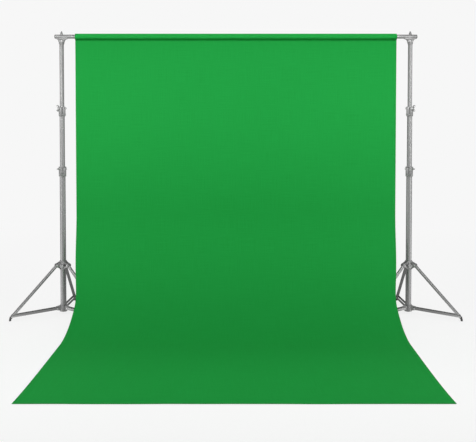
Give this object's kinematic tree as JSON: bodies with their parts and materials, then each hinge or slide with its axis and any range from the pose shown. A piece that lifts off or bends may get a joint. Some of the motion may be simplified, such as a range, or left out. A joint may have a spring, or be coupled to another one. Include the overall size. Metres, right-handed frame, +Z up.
{
  "type": "background support system",
  "caption": "Photo backdrop support: folding tripod stands with telescopic masts carry a sectional crossbar, from which a plain cloth hangs by a rod pocket and sweeps over the floor.",
  "frame": {"origin": "on the floor, at the middle of the box round the whole object", "axes": "+X along the crossbar to the right of someone facing the cloth, +Y behind the cloth, +Z up"},
  "size_m": [2.487, 1.6064, 1.5946],
  "materials": {
    "anodised_tube": "satin anodised",
    "brace_strap": "satin rolled strip",
    "casting": "fine cast, tumbled",
    "knob": "cast, satin",
    "steel": "bright zinc",
    "rubber": "moulded matt grey",
    "nylon": "moulded",
    "muslin": "fine plain weave"
  },
  "bodies": {
    "stand_bases": {"left_lower_tube": "anodised_tube", "left_base_hub": "casting", "left_lower_clamp": "casting", "right_lower_tube": "anodised_tube", "right_base_hub": "casting", "right_lower_clamp": "casting", "hub_pins": "steel", "lower_clamp_nuts": "steel", "backdrop_cloth": "muslin"},
    "top_frame": {"left_upper_tube": "anodised_tube", "left_head_yoke": "casting", "right_upper_tube": "anodised_tube", "right_head_yoke": "casting", "crossbar_section_1": "anodised_tube", "crossbar_section_2": "anodised_tube", "crossbar_section_3": "anodised_tube", "crossbar_section_4": "anodised_tube", "crossbar_end_caps": "rubber", "head_studs": "steel", "head_washers": "steel", "upper_bushes": "nylon"},
    "left_middle": {"left_middle_tube": "anodised_tube", "left_middle_bush": "nylon", "left_upper_clamp": "casting", "left_upper_clamp_nut": "steel"},
    "right_middle": {"right_middle_tube": "anodised_tube", "right_middle_bush": "nylon", "right_upper_clamp": "casting", "right_upper_clamp_nut": "steel"},
    "left_collar": {"left_leg_collar": "casting", "left_collar_pins": "steel"},
    "left_outer_leg": {"left_outer_leg": "anodised_tube", "left_outer_foot": "rubber"},
    "left_outer_brace": {"left_outer_brace": "brace_strap"},
    "left_back_leg": {"left_back_leg": "anodised_tube", "left_back_foot": "rubber"},
    "left_back_brace": {"left_back_brace": "brace_strap"},
    "left_inner_leg": {"left_inner_leg": "anodised_tube", "left_inner_foot": "rubber"},
    "left_inner_brace": {"left_inner_brace": "brace_strap"},
    "right_collar": {"right_leg_collar": "casting", "right_collar_pins": "steel"},
    "right_outer_leg": {"right_outer_leg": "anodised_tube", "right_outer_foot": "rubber"},
    "right_outer_brace": {"right_outer_brace": "brace_strap"},
    "right_back_leg": {"right_back_leg": "anodised_tube", "right_back_foot": "rubber"},
    "right_back_brace": {"right_back_brace": "brace_strap"},
    "right_inner_leg": {"right_inner_leg": "anodised_tube", "right_inner_foot": "rubber"},
    "right_inner_brace": {"right_inner_brace": "brace_strap"},
    "left_lower_clamp_knob": {"left_lower_clamp_knob": "knob"},
    "left_upper_clamp_knob": {"left_upper_clamp_knob": "knob"},
    "left_collar_knob": {"left_collar_knob": "knob"},
    "left_wing_nut": {"left_wing_nut": "knob"},
    "right_lower_clamp_knob": {"right_lower_clamp_knob": "knob"},
    "right_upper_clamp_knob": {"right_upper_clamp_knob": "knob"},
    "right_collar_knob": {"right_collar_knob": "knob"},
    "right_wing_nut": {"right_wing_nut": "knob"}
  },
  "joints": [
    {"name": "height_slide", "type": "slide", "parent": "stand_bases", "child": "top_frame", "axis": [0, 0, 1], "range_m": [-0.628, 0.435], "deforming": ["backdrop_cloth"]},
    {"name": "left_middle_slide", "type": "slide", "parent": "stand_bases", "child": "left_middle", "axis": [0, 0, 1], "range_m": [-0.2815, 0.19514]},
    {"name": "right_middle_slide", "type": "slide", "parent": "stand_bases", "child": "right_middle", "axis": [0, 0, 1], "range_m": [-0.2815, 0.19514]},
    {"name": "left_leg_fold", "type": "slide", "parent": "stand_bases", "child": "left_collar", "axis": [0, 0, 1], "range_m": [0, 0.35778]},
    {"name": "left_outer_leg_hinge", "type": "hinge", "parent": "left_collar", "child": "left_outer_leg", "pos_m": [-1.00904, 0.47826, 0.279], "axis": [0.5, -0.866, 0], "range_deg": [0, 44.33]},
    {"name": "left_outer_brace_hinge", "type": "hinge", "parent": "stand_bases", "child": "left_outer_brace", "pos_m": [-1.00904, 0.47826, 0.036], "axis": [0.5, -0.866, 0], "range_deg": [-92.34, 0]},
    {"name": "left_back_leg_hinge", "type": "hinge", "parent": "left_collar", "child": "left_back_leg", "pos_m": [-0.977, 0.53376, 0.279], "axis": [-1, 0, 0], "range_deg": [0, 44.33]},
    {"name": "left_back_brace_hinge", "type": "hinge", "parent": "stand_bases", "child": "left_back_brace", "pos_m": [-0.977, 0.53376, 0.036], "axis": [-1, 0, 0], "range_deg": [-92.34, 0]},
    {"name": "left_inner_leg_hinge", "type": "hinge", "parent": "left_collar", "child": "left_inner_leg", "pos_m": [-0.94496, 0.47826, 0.279], "axis": [0.5, 0.866, 0], "range_deg": [0, 44.33]},
    {"name": "left_inner_brace_hinge", "type": "hinge", "parent": "stand_bases", "child": "left_inner_brace", "pos_m": [-0.94496, 0.47826, 0.036], "axis": [0.5, 0.866, 0], "range_deg": [-92.34, 0]},
    {"name": "right_leg_fold", "type": "slide", "parent": "stand_bases", "child": "right_collar", "axis": [0, 0, 1], "range_m": [0, 0.35778]},
    {"name": "right_outer_leg_hinge", "type": "hinge", "parent": "right_collar", "child": "right_outer_leg", "pos_m": [1.00904, 0.47826, 0.279], "axis": [0.5, 0.866, 0], "range_deg": [0, 44.33]},
    {"name": "right_outer_brace_hinge", "type": "hinge", "parent": "stand_bases", "child": "right_outer_brace", "pos_m": [1.00904, 0.47826, 0.036], "axis": [0.5, 0.866, 0], "range_deg": [-92.34, 0]},
    {"name": "right_back_leg_hinge", "type": "hinge", "parent": "right_collar", "child": "right_back_leg", "pos_m": [0.977, 0.53376, 0.279], "axis": [-1, 0, 0], "range_deg": [0, 44.33]},
    {"name": "right_back_brace_hinge", "type": "hinge", "parent": "stand_bases", "child": "right_back_brace", "pos_m": [0.977, 0.53376, 0.036], "axis": [-1, 0, 0], "range_deg": [-92.34, 0]},
    {"name": "right_inner_leg_hinge", "type": "hinge", "parent": "right_collar", "child": "right_inner_leg", "pos_m": [0.94496, 0.47826, 0.279], "axis": [0.5, -0.866, 0], "range_deg": [0, 44.33]},
    {"name": "right_inner_brace_hinge", "type": "hinge", "parent": "stand_bases", "child": "right_inner_brace", "pos_m": [0.94496, 0.47826, 0.036], "axis": [0.5, -0.866, 0], "range_deg": [-92.34, 0]},
    {"name": "left_lower_clamp_knob_turn", "type": "hinge", "parent": "stand_bases", "child": "left_lower_clamp_knob", "pos_m": [-0.96788, 0.46871, 0.825], "axis": [-0.9511, -0.309, 0], "range_deg": [0, 270]},
    {"name": "left_upper_clamp_knob_turn", "type": "hinge", "parent": "left_middle", "child": "left_upper_clamp_knob", "pos_m": [-0.9685, 0.47061, 1.163], "axis": [-0.9511, -0.309, 0], "range_deg": [0, 270]},
    {"name": "left_collar_knob_turn", "type": "hinge", "parent": "left_collar", "child": "left_collar_knob", "pos_m": [-0.977, 0.46926, 0.279], "axis": [0, -1, 0], "range_deg": [0, 270]},
    {"name": "left_wing_nut_turn", "type": "hinge", "parent": "top_frame", "child": "left_wing_nut", "pos_m": [-0.977, 0.49676, 1.58], "axis": [0, 0, 1], "range_deg": [0, 450]},
    {"name": "right_lower_clamp_knob_turn", "type": "hinge", "parent": "stand_bases", "child": "right_lower_clamp_knob", "pos_m": [0.96788, 0.46871, 0.825], "axis": [0.9511, -0.309, 0], "range_deg": [0, 270]},
    {"name": "right_upper_clamp_knob_turn", "type": "hinge", "parent": "right_middle", "child": "right_upper_clamp_knob", "pos_m": [0.9685, 0.47061, 1.163], "axis": [0.9511, -0.309, 0], "range_deg": [0, 270]},
    {"name": "right_collar_knob_turn", "type": "hinge", "parent": "right_collar", "child": "right_collar_knob", "pos_m": [0.977, 0.46926, 0.279], "axis": [0, -1, 0], "range_deg": [0, 270]},
    {"name": "right_wing_nut_turn", "type": "hinge", "parent": "top_frame", "child": "right_wing_nut", "pos_m": [0.977, 0.49676, 1.58], "axis": [0, 0, 1], "range_deg": [0, 450]}
  ],
  "couplings": [
    {"joint": "left_middle_slide", "follows": "height_slide", "ratio": 0.44745},
    {"joint": "right_middle_slide", "follows": "height_slide", "ratio": 0.44745},
    {"joint": "left_outer_leg_hinge", "follows": "left_leg_fold", "rad_per_m": 2.1617},
    {"joint": "left_outer_brace_hinge", "follows": "left_leg_fold", "rad_per_m": -4.5035},
    {"joint": "left_back_leg_hinge", "follows": "left_leg_fold", "rad_per_m": 2.1617},
    {"joint": "left_back_brace_hinge", "follows": "left_leg_fold", "rad_per_m": -4.5035},
    {"joint": "left_inner_leg_hinge", "follows": "left_leg_fold", "rad_per_m": 2.1617},
    {"joint": "left_inner_brace_hinge", "follows": "left_leg_fold", "rad_per_m": -4.5035},
    {"joint": "right_outer_leg_hinge", "follows": "right_leg_fold", "rad_per_m": 2.1617},
    {"joint": "right_outer_brace_hinge", "follows": "right_leg_fold", "rad_per_m": -4.5035},
    {"joint": "right_back_leg_hinge", "follows": "right_leg_fold", "rad_per_m": 2.1617},
    {"joint": "right_back_brace_hinge", "follows": "right_leg_fold", "rad_per_m": -4.5035},
    {"joint": "right_inner_leg_hinge", "follows": "right_leg_fold", "rad_per_m": 2.1617},
    {"joint": "right_inner_brace_hinge", "follows": "right_leg_fold", "rad_per_m": -4.5035}
  ]
}
